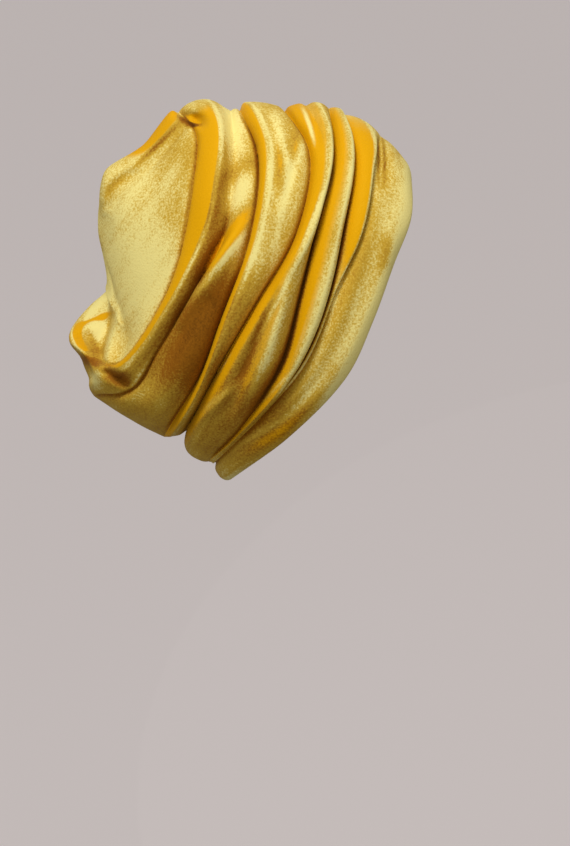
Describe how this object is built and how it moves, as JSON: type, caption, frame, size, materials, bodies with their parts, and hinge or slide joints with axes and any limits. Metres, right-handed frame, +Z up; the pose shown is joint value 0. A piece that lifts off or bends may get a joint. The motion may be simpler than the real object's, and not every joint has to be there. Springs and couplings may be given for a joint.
{
  "type": "slouchy beanie",
  "caption": "Soft velvet slouchy beanie, hollow to go over a head, with pleat-like folds running from crown to nape and a gathered pouch that hangs at the back.",
  "frame": {"origin": "middle of the opening for the head, where the head seat is", "axes": "+X to the wearer's front, +Y to the wearer's left, +Z up"},
  "size_m": [0.2329, 0.1844, 0.2562],
  "materials": {
    "velvet": "crushed stretch velvet"
  },
  "bodies": {
    "root": {"crown": "velvet"}
  },
  "joints": []
}
